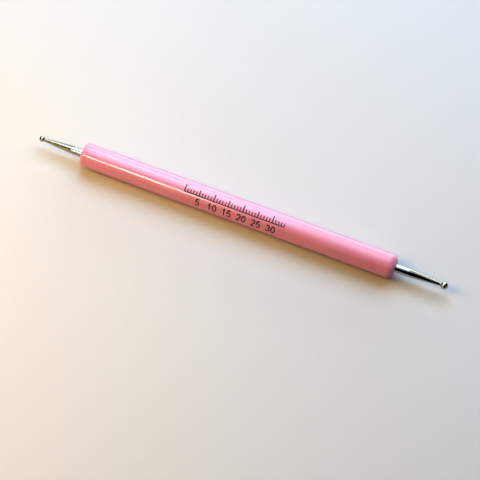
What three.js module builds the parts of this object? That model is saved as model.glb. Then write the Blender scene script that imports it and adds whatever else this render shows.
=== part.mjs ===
// Double-ended ball stylus: a round plastic handle with a blind hole drilled in
// each end, a tapered steel stem glued into each hole, and a steel ball on the
// tip of each stem.
//
// Millimetres, +Z up. The tool lies on the plane z = 0 with its axis along X,
// the small ball towards -X and the large ball towards +X. The origin is the
// middle of the tool's whole length, on the plane it lies on.

import * as THREE from 'three';

// ---- driving dimensions ----------------------------------------------------

const HANDLE_DIAMETER = 8.0;      // across two opposite flats of the facetted rod
const HANDLE_LENGTH = 107.5;
const SMALL_END_BEVEL = 0.9;      // straight bevel on the square-cut end
const LARGE_END_ROUND = 2.3;      // radius of the rounded-over end
const HOLE_DIAMETER = 3.0;        // blind hole in each end
const HOLE_DEPTH = 14.0;
const HOLE_MOUTH_BREAK = 0.12;    // edge break at the mouth of each hole

const STEM_LENGTH = 26.2;         // both stems are turned from the same blank
const SHANK_DIAMETER = 2.7;
const SHANK_CHAMFER = 0.3;
const SHANK_BLEND = 1.2;          // length over which the shank runs into the taper

const SMALL = { reach: 14.7, ball: 2.0, tip: 1.20, taper: 10.9 };
const LARGE = { reach: 16.1, ball: 2.5, tip: 1.24, taper: 10.9 };
// reach: end face of the handle to the centre of the ball
// ball: ball diameter; tip: stem diameter at the ball; taper: taper length

const WELD_GAP = 0.02;            // ball flat to stem tip
const GLUE_GAP = 0.02;            // glue to shank and glue to hole wall
const GLUE_RECESS = 0.6;          // glue stops this far inside the mouth

const HANDLE_SIDES = 32;
const STEM_SIDES = 32;
const BALL_SIDES = 24;
const BALL_RINGS = 14;

// ---- derived places on the axis --------------------------------------------

const HANDLE_RADIUS = HANDLE_DIAMETER / 2;
const OVERALL =
  SMALL.ball / 2 + SMALL.reach + HANDLE_LENGTH + LARGE.reach + LARGE.ball / 2;
const SMALL_FACE = -OVERALL / 2 + SMALL.ball / 2 + SMALL.reach;
const LARGE_FACE = SMALL_FACE + HANDLE_LENGTH;

// Radius at the corners of a regular polygon whose flats lie at `flat`.
const corner = (flat, sides) => flat / Math.cos(Math.PI / sides);

// ---- shapes ----------------------------------------------------------------

// A solid of revolution about the X axis. `profile` is a list of [x, radius]
// pairs with x rising overall; it starts and ends on the axis. A flat side
// faces straight down.
function turned(profile, sides) {
  const points = profile.map(([x, r]) => new THREE.Vector2(r, x));
  const g = new THREE.LatheGeometry(points, sides, Math.PI / sides, Math.PI * 2);
  g.rotateZ(-Math.PI / 2);
  return g;
}

// Turns a profile end for end about x = 0.
const flip = (profile) => profile.map(([x, r]) => [-x, r]).reverse();
const shift = (profile, dx) => profile.map(([x, r]) => [x + dx, r]);

// Handle: x runs from 0 at the square-cut face to HANDLE_LENGTH.
function handleProfile() {
  const k = 1 / Math.cos(Math.PI / HANDLE_SIDES);
  const R = HANDLE_RADIUS * k;
  const hole = (HOLE_DIAMETER / 2) * k;
  const L = HANDLE_LENGTH;
  const p = [
    [HOLE_DEPTH, 0],
    [HOLE_DEPTH, hole],
    [HOLE_MOUTH_BREAK, hole],
    [0, hole + HOLE_MOUTH_BREAK],
    [0, R - SMALL_END_BEVEL],
    [SMALL_END_BEVEL * 0.12, R - SMALL_END_BEVEL * 0.78],
    [SMALL_END_BEVEL * 0.78, R - SMALL_END_BEVEL * 0.12],
    [SMALL_END_BEVEL, R],
  ];
  const steps = 7;
  for (let i = 0; i <= steps; i += 1) {
    const a = (i / steps) * Math.PI / 2;
    p.push([
      L - LARGE_END_ROUND * (1 - Math.sin(a)),
      R - LARGE_END_ROUND * (1 - Math.cos(a)),
    ]);
  }
  p.push([L, hole + HOLE_MOUTH_BREAK]);
  p.push([L - HOLE_MOUTH_BREAK, hole]);
  p.push([L - HOLE_DEPTH, hole]);
  p.push([L - HOLE_DEPTH, 0]);
  return p;
}

// Stem: x = 0 is the handle's end face, the tip is towards +x.
function stemProfile(end) {
  const tipX = end.reach - ballFlat(end);
  const backX = tipX - STEM_LENGTH;
  const shank = SHANK_DIAMETER / 2;
  const tip = end.tip / 2;
  const start = tipX - end.taper;
  const slope = (shank - tip) / (end.taper - SHANK_BLEND / 2);
  const p = [
    [backX, 0],
    [backX, shank - SHANK_CHAMFER],
    [backX + SHANK_CHAMFER, shank],
    [start, shank],
  ];
  // a soft run from the straight shank into the straight taper
  const steps = 4;
  for (let i = 1; i <= steps; i += 1) {
    const t = i / steps;
    p.push([start + SHANK_BLEND * t, shank - slope * SHANK_BLEND * t * t / 2]);
  }
  p.push([tipX, tip]);
  p.push([tipX, 0]);
  return p;
}

// Distance from the ball's centre to the small flat where the stem's tip is
// welded on.
function ballFlat(end) {
  const R = end.ball / 2;
  const r = end.tip / 2;
  return Math.sqrt(R * R - r * r);
}

// Ball: x = 0 is the handle's end face.
function ballProfile(end) {
  const R = end.ball / 2;
  const flatX = ballFlat(end) - WELD_GAP;
  const from = Math.acos(flatX / R);
  const p = [[end.reach - flatX, 0]];
  for (let i = 0; i < BALL_RINGS; i += 1) {
    const a = from + (Math.PI - from) * (i / BALL_RINGS);
    p.push([end.reach - R * Math.cos(a), R * Math.sin(a)]);
  }
  p.push([end.reach + R, 0]);
  return p;
}

// Cured glue: a cup round the shank. x = 0 is the handle's end face.
function adhesiveProfile(end) {
  const backX = end.reach - ballFlat(end) - STEM_LENGTH;
  const outer = HOLE_DIAMETER / 2 - GLUE_GAP;
  const inner = SHANK_DIAMETER / 2 + GLUE_GAP;
  return [
    [-HOLE_DEPTH + GLUE_GAP, 0],
    [-HOLE_DEPTH + GLUE_GAP, outer],
    [-GLUE_RECESS, outer],
    [-GLUE_RECESS, inner],
    [backX - GLUE_GAP, inner],
    [backX - GLUE_GAP, 0],
  ];
}

// ---- materials -------------------------------------------------------------

const pinkPlastic = () =>
  new THREE.MeshStandardMaterial({ color: 0xf5b3cf, roughness: 0.22, metalness: 0.0 });
const polishedSteel = () =>
  new THREE.MeshStandardMaterial({ color: 0xc9c8c2, roughness: 0.16, metalness: 1.0 });
const ballSteel = () =>
  new THREE.MeshStandardMaterial({ color: 0xd2d1cc, roughness: 0.08, metalness: 1.0 });
const curedGlue = () =>
  new THREE.MeshStandardMaterial({ color: 0xe8dfc0, roughness: 0.3, metalness: 0.0 });

// ---- assembly --------------------------------------------------------------

const stylus = new THREE.Group();
stylus.name = 'ball_stylus';

const axle = new THREE.Group();        // the tool's axis, one radius above the plane
axle.position.z = HANDLE_RADIUS;
stylus.add(axle);

function add(name, profile, sides, material) {
  const mesh = new THREE.Mesh(turned(profile, sides), material);
  mesh.name = name;
  axle.add(mesh);
}

const atSmallEnd = (profile) => shift(flip(profile), SMALL_FACE);
const atLargeEnd = (profile) => shift(profile, LARGE_FACE);
const stretch = (profile, sides) => profile.map(([x, r]) => [x, corner(r, sides)]);

add('handle', shift(handleProfile(), SMALL_FACE), HANDLE_SIDES, pinkPlastic());

add('stem_small', atSmallEnd(stretch(stemProfile(SMALL), STEM_SIDES)), STEM_SIDES, polishedSteel());
add('ball_small', atSmallEnd(ballProfile(SMALL)), BALL_SIDES, ballSteel());
add('adhesive_small_end', atSmallEnd(stretch(adhesiveProfile(SMALL), STEM_SIDES)), STEM_SIDES, curedGlue());

add('stem_large', atLargeEnd(stretch(stemProfile(LARGE), STEM_SIDES)), STEM_SIDES, polishedSteel());
add('ball_large', atLargeEnd(ballProfile(LARGE)), BALL_SIDES, ballSteel());
add('adhesive_large_end', atLargeEnd(stretch(adhesiveProfile(LARGE), STEM_SIDES)), STEM_SIDES, curedGlue());

export default stylus;
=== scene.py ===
import math
import random

import bmesh
import bpy
from mathutils import Matrix, Vector


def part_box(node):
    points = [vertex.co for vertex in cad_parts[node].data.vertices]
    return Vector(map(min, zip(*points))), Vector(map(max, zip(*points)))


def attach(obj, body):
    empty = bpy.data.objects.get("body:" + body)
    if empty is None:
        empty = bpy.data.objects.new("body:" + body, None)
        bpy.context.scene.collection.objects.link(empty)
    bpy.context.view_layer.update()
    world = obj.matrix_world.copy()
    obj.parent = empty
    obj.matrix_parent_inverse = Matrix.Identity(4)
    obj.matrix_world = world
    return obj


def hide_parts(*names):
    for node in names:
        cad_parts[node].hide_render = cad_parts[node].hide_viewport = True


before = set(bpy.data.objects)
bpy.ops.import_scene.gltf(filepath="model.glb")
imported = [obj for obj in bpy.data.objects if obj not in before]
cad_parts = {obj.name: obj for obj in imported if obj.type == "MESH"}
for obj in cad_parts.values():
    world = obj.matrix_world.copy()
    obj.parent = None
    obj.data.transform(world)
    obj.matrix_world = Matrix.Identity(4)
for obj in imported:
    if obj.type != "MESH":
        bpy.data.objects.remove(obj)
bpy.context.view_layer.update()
random.seed(7)

MM = 0.001
scene = bpy.context.scene

# ---------------------------------------------------------------------------
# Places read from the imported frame. The tool's axis runs along X, one handle
# radius above the surface it lies on.
# ---------------------------------------------------------------------------
h_lo, h_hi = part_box("handle")
R = (h_hi.z - h_lo.z) / 2                     # handle radius
AXIS_Z = (h_hi.z + h_lo.z) / 2
X_SMALL, X_LARGE = h_lo.x, h_hi.x             # the handle's two end faces
HANDLE_L = X_LARGE - X_SMALL

HOLE_R = 1.5 * MM
HOLE_DEPTH = 14.0 * MM
BEVEL = 0.9 * MM
ROUND = 2.3 * MM


# ---------------------------------------------------------------------------
# Mesh helpers
# ---------------------------------------------------------------------------
def link(obj):
    scene.collection.objects.link(obj)
    return obj


def lathe(name, profile, sides, sharp_deg=35.0):
    """A closed solid of revolution about the tool's axis. profile is a list of (x, r), starting and ending on the axis."""
    bm = bmesh.new()
    rings = []
    for x, r in profile:
        if r < 1e-9:
            rings.append([bm.verts.new((x, 0.0, AXIS_Z))])
        else:
            rings.append([
                bm.verts.new((
                    x,
                    -r * math.cos(2 * math.pi * k / sides),
                    AXIS_Z + r * math.sin(2 * math.pi * k / sides),
                ))
                for k in range(sides)
            ])
    for a, b in zip(rings, rings[1:]):
        if len(a) == 1 and len(b) == 1:
            continue
        for k in range(sides):
            j = (k + 1) % sides
            if len(a) == 1:
                bm.faces.new((a[0], b[k], b[j]))
            elif len(b) == 1:
                bm.faces.new((a[k], b[0], a[j]))
            else:
                bm.faces.new((a[k], b[k], b[j], a[j]))
    bmesh.ops.recalc_face_normals(bm, faces=bm.faces[:])
    if bm.calc_volume(signed=True) < 0:
        bmesh.ops.reverse_faces(bm, faces=bm.faces[:])
    mesh = bpy.data.meshes.new(name)
    bm.to_mesh(mesh)
    bm.free()
    for p in mesh.polygons:
        p.use_smooth = True
    mesh.set_sharp_from_angle(angle=math.radians(sharp_deg))
    return link(bpy.data.objects.new(name, mesh))


def rounded(points, steps=8):
    """points is a list of (x, r, radius): each corner with a radius becomes an arc."""
    out = []
    n = len(points)
    for i, (x, r, rad) in enumerate(points):
        if rad <= 0 or i in (0, n - 1):
            out.append((x, r))
            continue
        p = Vector((x, r))
        a = Vector(points[i - 1][:2]) - p
        b = Vector(points[i + 1][:2]) - p
        la, lb = a.length, b.length
        a.normalize()
        b.normalize()
        turn = math.acos(max(-1.0, min(1.0, a.dot(b))))
        if turn > math.pi - 1e-3:
            out.append((x, r))
            continue
        cut = min(rad / math.tan(turn / 2), la * 0.93, lb * 0.93)
        rad = cut * math.tan(turn / 2)
        centre = p + (a + b).normalized() * (rad / math.sin(turn / 2))
        s, e = p + a * cut - centre, p + b * cut - centre
        swing = math.acos(max(-1.0, min(1.0, s.normalized().dot(e.normalized()))))
        for k in range(steps + 1):
            t = k / steps
            v = (s * math.sin((1 - t) * swing) + e * math.sin(t * swing)) / math.sin(swing)
            out.append((centre.x + v.x, centre.y + v.y))
    return out


def densify(profile, longest):
    """Adds points so that no straight run along the axis is longer than `longest`."""
    out = [profile[0]]
    for (x0, r0), (x1, r1) in zip(profile, profile[1:]):
        n = max(1, math.ceil(abs(x1 - x0) / longest))
        for k in range(1, n + 1):
            t = k / n
            out.append((x0 + (x1 - x0) * t, r0 + (r1 - r0) * t))
    return out


# ---------------------------------------------------------------------------
# Node helpers
# ---------------------------------------------------------------------------
class Tree:
    def __init__(self, name):
        self.mat = bpy.data.materials.new(name)
        self.mat.use_nodes = True
        self.nt = self.mat.node_tree
        self.nt.nodes.clear()
        self.out = self.nt.nodes.new("ShaderNodeOutputMaterial")
        self.bsdf = self.nt.nodes.new("ShaderNodeBsdfPrincipled")
        self.link(self.bsdf.outputs[0], self.out.inputs["Surface"])

    def node(self, kind, **values):
        n = self.nt.nodes.new(kind)
        for k, v in values.items():
            setattr(n, k, v)
        return n

    def link(self, a, b):
        self.nt.links.new(a, b)

    def set(self, **values):
        for k, v in values.items():
            self.bsdf.inputs[k.replace("_", " ")].default_value = v

    def coords(self, scale=(1, 1, 1), offset=(0, 0, 0)):
        tc = self.node("ShaderNodeTexCoord")
        m = self.node("ShaderNodeMapping")
        m.inputs["Scale"].default_value = scale
        m.inputs["Location"].default_value = offset
        self.link(tc.outputs["Object"], m.inputs["Vector"])
        return m.outputs["Vector"]

    def noise(self, vector, scale, detail=3.0, rough=0.5, distortion=0.0):
        n = self.node("ShaderNodeTexNoise")
        n.inputs["Scale"].default_value = scale
        n.inputs["Detail"].default_value = detail
        n.inputs["Roughness"].default_value = rough
        n.inputs["Distortion"].default_value = distortion
        self.link(vector, n.inputs["Vector"])
        return n.outputs["Fac"]

    def ramp(self, value, stops, interpolation="LINEAR"):
        r = self.node("ShaderNodeValToRGB")
        r.color_ramp.interpolation = interpolation
        e = r.color_ramp.elements
        while len(e) > 1:
            e.remove(e[-1])
        e[0].position, e[0].color = stops[0][0], (*stops[0][1], 1.0)
        for pos, col in stops[1:]:
            el = e.new(pos)
            el.color = (*col, 1.0)
        self.link(value, r.inputs["Fac"])
        return r.outputs["Color"]

    def remap(self, value, lo, hi, a, b):
        m = self.node("ShaderNodeMapRange")
        m.inputs["From Min"].default_value = lo
        m.inputs["From Max"].default_value = hi
        m.inputs["To Min"].default_value = a
        m.inputs["To Max"].default_value = b
        self.link(value, m.inputs["Value"])
        return m.outputs["Result"]

    def math(self, op, a, b):
        m = self.node("ShaderNodeMath", operation=op)
        for i, v in enumerate((a, b)):
            if isinstance(v, (int, float)):
                m.inputs[i].default_value = v
            else:
                self.link(v, m.inputs[i])
        return m.outputs[0]

    def bump(self, height, strength, distance, normal=None):
        b = self.node("ShaderNodeBump")
        b.inputs["Strength"].default_value = strength
        b.inputs["Distance"].default_value = distance
        self.link(height, b.inputs["Height"])
        if normal is not None:
            self.link(normal, b.inputs["Normal"])
        return b.outputs["Normal"]


# ---------------------------------------------------------------------------
# Materials
# ---------------------------------------------------------------------------
def plastic():
    t = Tree("pink_plastic")
    base = t.coords()
    # cloudy variation of the dyed plastic, stretched along the rod
    along = t.coords(scale=(0.25, 1, 1))
    cloud = t.noise(along, 260.0, 4.0, 0.55, 0.4)
    colour = t.ramp(cloud, [
        (0.30, PINK_LOW),
        (0.50, PINK),
        (0.72, PINK_HIGH),
    ])
    t.link(colour, t.bsdf.inputs["Base Color"])
    # handled gloss: faint smears and fine scuffs
    smear = t.noise(t.coords(scale=(0.6, 1.4, 1.4)), 420.0, 5.0, 0.6, 0.8)
    t.link(t.remap(smear, 0.30, 0.75, 0.10, 0.18), t.bsdf.inputs["Roughness"])
    t.set(
        IOR=1.58,
        Subsurface_Weight=0.20,
        Subsurface_Radius=(1.0, 0.40, 0.45),
        Subsurface_Scale=0.0010,
    )
    # drawn rod: very shallow ripple, then hairline scratches along it
    ripple = t.noise(t.coords(scale=(0.35, 1, 1)), 210.0, 2.0, 0.45)
    n1 = t.bump(ripple, 0.025, 0.00012)
    fine = t.noise(t.coords(scale=(0.05, 1, 1)), 9000.0, 3.0, 0.6)
    n2 = t.bump(fine, 0.05, 0.00001, n1)
    t.link(n2, t.bsdf.inputs["Normal"])
    return t.mat


def steel(name, colour, rough_lo, rough_hi, ring_strength):
    t = Tree(name)
    # turning and polishing rings run round the axis, so they vary along X only
    rings = t.noise(t.coords(scale=(1, 0.02, 0.02)), 16000.0, 4.0, 0.7)
    wide = t.noise(t.coords(scale=(1, 0.3, 0.3)), 900.0, 3.0, 0.6)
    tone = t.math("ADD", t.math("MULTIPLY", rings, 0.5), t.math("MULTIPLY", wide, 0.5))
    lo = tuple(c * 0.90 for c in colour)
    hi = tuple(min(1.0, c * 1.06) for c in colour)
    t.link(t.ramp(tone, [(0.32, lo), (0.52, colour), (0.70, hi)]), t.bsdf.inputs["Base Color"])
    t.link(t.remap(tone, 0.35, 0.68, rough_lo, rough_hi), t.bsdf.inputs["Roughness"])
    t.set(Metallic=1.0)
    t.link(t.bump(rings, ring_strength, 0.000006), t.bsdf.inputs["Normal"])
    return t.mat


def glue():
    t = Tree("cured_glue")
    cloud = t.noise(t.coords(), 2600.0, 3.0, 0.5)
    t.link(t.ramp(cloud, [(0.3, (0.62, 0.42, 0.36)), (0.7, (0.86, 0.66, 0.58))]), t.bsdf.inputs["Base Color"])
    t.link(t.remap(cloud, 0.3, 0.7, 0.12, 0.30), t.bsdf.inputs["Roughness"])
    t.set(Subsurface_Weight=0.4, Subsurface_Scale=0.0006)
    t.link(t.bump(cloud, 0.25, 0.00003), t.bsdf.inputs["Normal"])
    return t.mat


def ink():
    t = Tree("printed_ink")
    speck = t.noise(t.coords(), 5200.0, 4.0, 0.65)
    t.link(t.ramp(speck, [(0.30, (0.022, 0.010, 0.014)), (0.62, (0.010, 0.006, 0.008)), (0.85, (0.040, 0.018, 0.024))]), t.bsdf.inputs["Base Color"])
    t.link(t.remap(speck, 0.3, 0.7, 0.28, 0.50), t.bsdf.inputs["Roughness"])
    t.link(t.bump(speck, 0.2, 0.000008), t.bsdf.inputs["Normal"])
    return t.mat


def floor_material():
    t = Tree("pale_table")
    fibre = t.noise(t.coords(), 1400.0, 5.0, 0.6)
    broad = t.noise(t.coords(), 9.0, 2.0, 0.5)
    tone = t.math("ADD", t.math("MULTIPLY", fibre, 0.35), t.math("MULTIPLY", broad, 0.65))
    t.link(t.ramp(tone, [(0.3, tuple(c * 0.992 for c in FLOOR)), (0.7, tuple(c * 1.008 for c in FLOOR))]), t.bsdf.inputs["Base Color"])
    t.set(Roughness=0.62, IOR=1.3)
    t.link(t.bump(fibre, 0.03, 0.00002), t.bsdf.inputs["Normal"])
    return t.mat


PINK = (0.775, 0.338, 0.472)
PINK_LOW = (0.758, 0.322, 0.454)
PINK_HIGH = (0.790, 0.354, 0.490)
FLOOR = (0.62, 0.62, 0.62)

M_PLASTIC = plastic()
M_STEEL = steel("turned_steel", (0.45, 0.435, 0.405), 0.08, 0.20, 0.08)
M_BALL = steel("ball_steel", (0.52, 0.51, 0.48), 0.05, 0.12, 0.03)
M_GLUE = glue()
M_INK = ink()
M_FLOOR = floor_material()


# ---------------------------------------------------------------------------
# Camera: at the photograph's viewing angle
# ---------------------------------------------------------------------------
MID = (X_SMALL + X_LARGE) / 2
CAM_AZ, CAM_EL, CAM_D = math.radians(22.2), math.radians(64.5), 0.515
target = Vector((MID + 4.2 * MM, -7.7 * MM, 0.0))
back = Vector((
    math.sin(CAM_AZ) * math.cos(CAM_EL),
    -math.cos(CAM_AZ) * math.cos(CAM_EL),
    math.sin(CAM_EL),
))
cam_data = bpy.data.cameras.new("camera")
cam_data.sensor_width = 36.0
cam_data.lens = 121.2
cam_data.clip_start, cam_data.clip_end = 0.01, 20.0
camera = link(bpy.data.objects.new("camera", cam_data))
camera.location = target + back * CAM_D
camera.rotation_mode = "QUATERNION"
camera.rotation_quaternion = (-back).to_track_quat("-Z", "Y")
scene.camera = camera


# ---------------------------------------------------------------------------
# Handle
# ---------------------------------------------------------------------------
handle_profile = densify(rounded([
    (X_SMALL + HOLE_DEPTH, 0.0, 0),
    (X_SMALL + HOLE_DEPTH, HOLE_R, 0),
    (X_SMALL, HOLE_R, 0.14 * MM),
    (X_SMALL, R - BEVEL, 0.22 * MM),
    (X_SMALL + BEVEL, R, 0.30 * MM),
    (X_LARGE, R, ROUND),
    (X_LARGE, HOLE_R, 0.14 * MM),
    (X_LARGE - HOLE_DEPTH, HOLE_R, 0),
    (X_LARGE - HOLE_DEPTH, 0.0, 0),
], steps=14), 3.0 * MM)
handle = lathe("handle_rod", handle_profile, 256)
handle.data.materials.append(M_PLASTIC)
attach(handle, "root")
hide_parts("handle")


# ---------------------------------------------------------------------------
# Stems and balls
# ---------------------------------------------------------------------------
SHANK_R = 1.35 * MM
STEM_L = 26.2 * MM
ENDS = {
    "small": dict(face=X_SMALL, out=-1, reach=14.7 * MM, ball=1.0 * MM, tip=0.60 * MM, taper=10.9 * MM),
    "large": dict(face=X_LARGE, out=+1, reach=16.1 * MM, ball=1.25 * MM, tip=0.62 * MM, taper=10.9 * MM),
}

for key, e in ENDS.items():
    flat = math.sqrt(e["ball"] ** 2 - e["tip"] ** 2)
    tip_x = e["reach"] - flat
    back_x = tip_x - STEM_L
    start = tip_x - e["taper"]
    blend = 1.2 * MM
    slope = (SHANK_R - e["tip"]) / (e["taper"] - blend / 2)
    place = lambda prof, e=e: [(e["face"] + e["out"] * x, r) for x, r in prof]

    prof = [(back_x, 0.0), (back_x, SHANK_R - 0.3 * MM), (back_x + 0.3 * MM, SHANK_R), (start, SHANK_R)]
    for i in range(1, 9):
        t = i / 8
        prof.append((start + blend * t, SHANK_R - slope * blend * t * t / 2))
    # straight taper, then a small weld fillet that flares towards the ball
    neck = 0.26 * MM
    end_x = tip_x - neck
    r_end = e["tip"] + slope * neck
    n = 24
    x0, r0 = prof[-1]
    for i in range(1, n + 1):
        t = i / n
        prof.append((x0 + (end_x - x0) * t, r0 + (r_end - 0.03 * MM - r0) * t))
    for i in range(1, 9):
        t = i / 8
        prof.append((end_x + neck * t, r_end - 0.03 * MM + (e["tip"] * 1.02 - r_end + 0.03 * MM) * t + 0.05 * MM * t ** 3))
    prof.append((tip_x - 0.005 * MM + 0.004 * MM, 0.0))
    stem = lathe("stem_%s_turned" % key, place(prof), 96)
    stem.data.materials.append(M_STEEL)
    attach(stem, "root")
    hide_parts("stem_%s" % key)

    rb = e["ball"]
    a0 = math.acos((flat - 0.004 * MM) / rb)
    bp = [(e["reach"] - (flat - 0.004 * MM), 0.0)]
    m = 48
    for i in range(m):
        a = a0 + (math.pi - a0) * i / m
        bp.append((e["reach"] - rb * math.cos(a), rb * math.sin(a)))
    bp.append((e["reach"] + rb, 0.0))
    ball = lathe("ball_%s_polished" % key, place(bp), 96)
    ball.data.materials.append(M_BALL)
    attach(ball, "root")
    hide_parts("ball_%s" % key)

    # cured glue: a cup round the shank, its free surface a meniscus that
    # climbs both the shank and the hole's wall
    gi, go = SHANK_R + 0.01 * MM, HOLE_R - 0.01 * MM
    gp = [(-HOLE_DEPTH + 0.01 * MM, 0.0), (-HOLE_DEPTH + 0.01 * MM, go)]
    for i in range(0, 11):
        t = i / 10
        gp.append((-0.22 * MM - 0.10 * MM * math.sin(math.pi * t), go + (gi - go) * t))
    gp += [(back_x - 0.01 * MM, gi), (back_x - 0.01 * MM, 0.0)]
    g = lathe("glue_%s_end" % key, place(gp), 96)
    g.data.materials.append(M_GLUE)
    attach(g, "root")
    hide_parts("adhesive_%s_end" % key)


# ---------------------------------------------------------------------------
# Printed marks: a plain millimetre scale with numbers, as thin ink on the rod
# ---------------------------------------------------------------------------
INK_LIFT = 0.010 * MM
INK_SINK = 0.020 * MM


def on_rod(x, s, lift):
    """A point on the rod: s is the arc length round it, from the camera side's horizon upwards."""
    a = s / R
    r = R + lift
    return (x, -r * math.cos(a), AXIS_Z + r * math.sin(a))


def stroke(bm, points, width):
    """A flat ribbon along points (x, s), wrapped on the rod, closed all round."""
    pts = [Vector(p) for p in points]
    closed = (pts[0] - pts[-1]).length < 1e-7
    if closed:
        pts = pts[:-1]
    n = len(pts)
    left, right = [], []
    for i, p in enumerate(pts):
        if closed:
            a, b = pts[i - 1], pts[(i + 1) % n]
        else:
            a, b = pts[max(0, i - 1)], pts[min(n - 1, i + 1)]
        d1 = (p - a).normalized() if (p - a).length > 0 else (b - p).normalized()
        d2 = (b - p).normalized() if (b - p).length > 0 else d1
        d = (d1 + d2).normalized()
        nrm = Vector((-d.y, d.x))
        k = 1.0 / max(0.5, nrm.dot(Vector((-d1.y, d1.x))))
        left.append(p + nrm * (width / 2 * k))
        right.append(p - nrm * (width / 2 * k))
    rows = []
    for l, r in zip(left, right):
        rows.append([
            bm.verts.new(on_rod(l.x, l.y, INK_LIFT)),
            bm.verts.new(on_rod(r.x, r.y, INK_LIFT)),
            bm.verts.new(on_rod(r.x, r.y, -INK_SINK)),
            bm.verts.new(on_rod(l.x, l.y, -INK_SINK)),
        ])
    count = n if closed else n - 1
    for i in range(count):
        a, b = rows[i], rows[(i + 1) % n]
        for k in range(4):
            j = (k + 1) % 4
            bm.faces.new((a[k], b[k], b[j], a[j]))
    if not closed:
        bm.faces.new(rows[0])
        bm.faces.new(rows[-1][::-1])


def arc(cx, cy, rx, ry, a0, a1, n=14):
    return [(cx + rx * math.cos(math.radians(a0 + (a1 - a0) * i / n)), cy + ry * math.sin(math.radians(a0 + (a1 - a0) * i / n))) for i in range(n + 1)]


# Plain stroke digits in a box 0.6 wide and 1 high.
DIGITS = {
    "0": [arc(0.3, 0.5, 0.27, 0.5, 90, 450, 28)],
    "1": [[(0.12, 0.80), (0.34, 1.0), (0.34, 0.0)]],
    "2": [arc(0.3, 0.72, 0.26, 0.28, 165, -30, 12) + [(0.05, 0.0), (0.58, 0.0)]],
    "3": [arc(0.28, 0.75, 0.25, 0.25, 150, -80, 12), arc(0.28, 0.27, 0.29, 0.27, 85, -150, 14)],
    "5": [[(0.52, 1.0), (0.13, 1.0), (0.08, 0.56)] + arc(0.28, 0.32, 0.28, 0.31, 115, -150, 16)],
}


def even(points, step):
    """Points no further apart than step."""
    out = [points[0]]
    for a, b in zip(points, points[1:]):
        a, b = Vector(a), Vector(b)
        n = max(1, math.ceil((b - a).length / step))
        out += [tuple(a + (b - a) * (k / n)) for k in range(1, n + 1)]
    return out


bm = bmesh.new()
SCALE_X0 = X_SMALL + 36.4 * MM
SCALE_LEN = 34
S_BASE = R * math.radians(66.2 - 2.0)
for i in range(SCALE_LEN + 1):
    height = 2.45 if i % 10 == 0 else (2.05 if i % 5 == 0 else 1.30)
    width = 0.36 if i % 5 == 0 else 0.27
    x = SCALE_X0 + i * MM
    stroke(bm, even([(x, S_BASE), (x, S_BASE + height * MM)], 0.2 * MM), width * MM)
stroke(bm, even([(SCALE_X0 - 0.18 * MM, S_BASE), (SCALE_X0 + SCALE_LEN * MM + 0.135 * MM, S_BASE)], 0.5 * MM), 0.27 * MM)
DIGIT_H = 2.15 * MM
S_TEXT = R * math.radians(66.2 - 33.5) - DIGIT_H / 2
for value in range(5, 31, 5):
    word = str(value)
    advance = 0.80 * DIGIT_H
    w = advance * (len(word) - 1) + 0.6 * DIGIT_H
    x = SCALE_X0 + value * MM - w / 2
    for ch in word:
        for path in DIGITS[ch]:
            stroke(bm, even([(x + px * DIGIT_H, S_TEXT + py * DIGIT_H) for px, py in path], 0.15 * MM), 0.37 * MM)
        x += advance
bmesh.ops.recalc_face_normals(bm, faces=bm.faces[:])
mesh = bpy.data.meshes.new("scale_marks")
bm.to_mesh(mesh)
bm.free()
marks = link(bpy.data.objects.new("scale_marks", mesh))
marks.data.materials.append(M_INK)
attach(marks, "root")


# ---------------------------------------------------------------------------
# Floor and lights
# ---------------------------------------------------------------------------
bm = bmesh.new()
FS = 0.5
n = 24
grid = [[bm.verts.new((-FS + 2 * FS * i / n, -FS + 2 * FS * j / n, 0.0)) for j in range(n + 1)] for i in range(n + 1)]
for i in range(n):
    for j in range(n):
        bm.faces.new((grid[i][j], grid[i + 1][j], grid[i + 1][j + 1], grid[i][j + 1]))
mesh = bpy.data.meshes.new("table_top")
bm.to_mesh(mesh)
bm.free()
floor = link(bpy.data.objects.new("table_top", mesh))
floor.data.materials.append(M_FLOOR)


def direction(beta, theta):
    """beta: degrees along the tool towards +X. theta: degrees up from the camera side's horizon, over the top."""
    b, t = math.radians(beta), math.radians(theta)
    return Vector((math.sin(b), -math.cos(b) * math.cos(t), math.cos(b) * math.sin(t)))


def area(name, place, turn, size, radiance, seen="all"):
    """A soft rectangular light of the given radiance (red, green, blue). seen: all, matte or gloss."""
    peak = max(radiance)
    data = bpy.data.lights.new(name, "AREA")
    data.shape = "RECTANGLE"
    data.size, data.size_y = size
    data.energy = peak * size[0] * size[1] * math.pi
    data.color = tuple(c / peak for c in radiance)
    obj = link(bpy.data.objects.new(name, data))
    obj.location = place
    obj.rotation_mode = "QUATERNION"
    obj.rotation_quaternion = turn
    obj.visible_camera = False
    obj.visible_glossy = seen != "matte"
    obj.visible_diffuse = seen != "gloss"
    return obj


def panel(name, betas, thetas, radiance, distance=0.7, seen="all"):
    """A light that fills a range of directions, in degrees, as seen from the middle of the tool."""
    beta, theta = sum(betas) / 2, sum(thetas) / 2
    wide = 2 * distance * math.tan(math.radians(betas[1] - betas[0]) / 2)
    tall = 2 * distance * math.tan(math.radians(thetas[1] - thetas[0]) / 2) * math.cos(math.radians(beta))
    d = direction(beta, theta)
    b, t = math.radians(beta), math.radians(theta)
    ex = Vector((math.cos(b), math.sin(b) * math.cos(t), -math.sin(b) * math.sin(t)))
    ey = Vector((0.0, math.sin(t), math.cos(t)))
    ez = ex.cross(ey)
    if ez.dot(d) < 0:
        ex = -ex
        ez = ex.cross(ey)
    return area(name, d * distance, Matrix((ex, ey, ez)).transposed().to_quaternion(), (wide, tall), radiance, seen)


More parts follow.
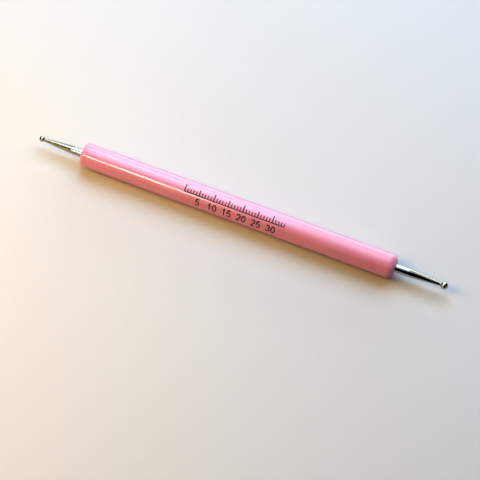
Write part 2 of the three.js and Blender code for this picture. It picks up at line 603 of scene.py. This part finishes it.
def lamp(name, x, height, beta, theta, distance, size, radiance, seen="all"):
    """A small light near the tool, aimed at the point (x, 0, height)."""
    d = direction(beta, theta)
    return area(name, Vector((x, 0.0, height)) + d * distance, d.to_track_quat("Z", "Y"), size, radiance, seen)


# A window: a cool, soft field of light on the far side of the tool.
WINDOW = [
    ((-40, -20), (114, 150), (0.70, 2.30, 4.60), "matte"),
    ((-42, -20), (88, 152), (2.30, 2.45, 2.35), "gloss"),
    ((-20, 1), (76, 97), (0.90, 1.60, 2.40), "gloss"),
    ((-20, -6), (97, 110), (2.45, 4.30, 5.00), "all"),
    ((-20, -6), (110, 126), (2.80, 4.90, 6.20), "all"),
    ((-20, -6), (126, 148), (4.00, 6.00, 7.80), "all"),
    ((-6, 3), (100, 148), (1.80, 2.90, 3.50), "matte"),
    ((-6, 3), (100, 148), (2.40, 3.00, 3.20), "gloss"),
    ((1, 10), (112, 148), (2.80, 3.10, 3.90), "matte"),
    ((3, 22), (98, 140), (0.80, 0.80, 0.78), "gloss"),
    ((10, 34), (110, 150), (4.40, 3.80, 4.60), "matte"),
]
for i, (betas, thetas, radiance, seen) in enumerate(WINDOW):
    panel("window_%d" % i, betas, thetas, radiance, 0.66 if seen == "gloss" else 0.7, seen)
# The pale wall low behind the tool, seen in grazing reflections.
panel("wall_left", (-60, -20), (158, 176), (0.50, 0.90, 1.00))
panel("wall_middle", (-20, 20), (158, 176), (4.40, 5.20, 4.20))
panel("wall_low", (-20, 20), (174, 179.8), (2.40, 4.20, 3.80), 0.66, "gloss")
# Warm room light from high on the left.
panel("room_left", (-65, -38), (58, 88), (1.30, 1.00, 0.50), 0.6, "matte")
panel("room_middle", (-38, -14), (58, 88), (3.40, 2.30, 0.60), 0.6, "matte")
lamp("warm_left", -0.02, 0.0, -40, 70, 0.30, (0.18, 0.18), (3.00, 2.00, 0.95), "matte")
lamp("warm_middle", -0.02, 0.0, -22, 70, 0.30, (0.16, 0.18), (2.50, 1.75, 0.85), "matte")
lamp("warm_low", -0.07, 0.0, -45, 28, 0.25, (0.10, 0.08), (6.60, 2.60, 1.20), "matte")
lamp("warm_end", -0.07, 0.0, -50, 75, 0.22, (0.08, 0.08), (2.70, 2.20, 1.50), "matte")
# The same room in the steel: dull gold on the left, a small lamp on the right.
panel("gold_left", (-42, -8), (2, 54), (0.75, 0.60, 0.24), 0.7, "gloss")
panel("lamp_right", (48, 62), (50, 72), (4.00, 3.40, 2.40), 1.5, "gloss")
# A narrow lamp along the tool, close to it: the line of light on the rod.
for i in range(8):
    t = i / 7
    level = (1.0, 1.0, 1.0, 1.05, 1.22, 1.25, 0.80, 0.38)[i]
    lamp("strip_%d" % i, -0.120 + 0.0118 * i, 4 * MM, 0, 55.0 - 4.0 * t, 0.17, (0.0121, 0.032), (14.6 * level, 13.8 * level, 11.4 * level), "gloss")

world = bpy.data.worlds.new("room")
world.use_nodes = True
bg = world.node_tree.nodes["Background"]
bg.inputs["Color"].default_value = (0.66, 0.66, 0.65, 1.0)
bg.inputs["Strength"].default_value = 1.0
# the room beyond the table is only looked at, it lights nothing
world.cycles_visibility.diffuse = False
world.cycles_visibility.glossy = False
world.cycles_visibility.transmission = False
world.cycles_visibility.scatter = False
scene.world = world

scene.view_settings.view_transform = "Standard"
scene.view_settings.look = "None"
scene.view_settings.exposure = 0.0
scene.view_settings.gamma = 1.0 / 1.3
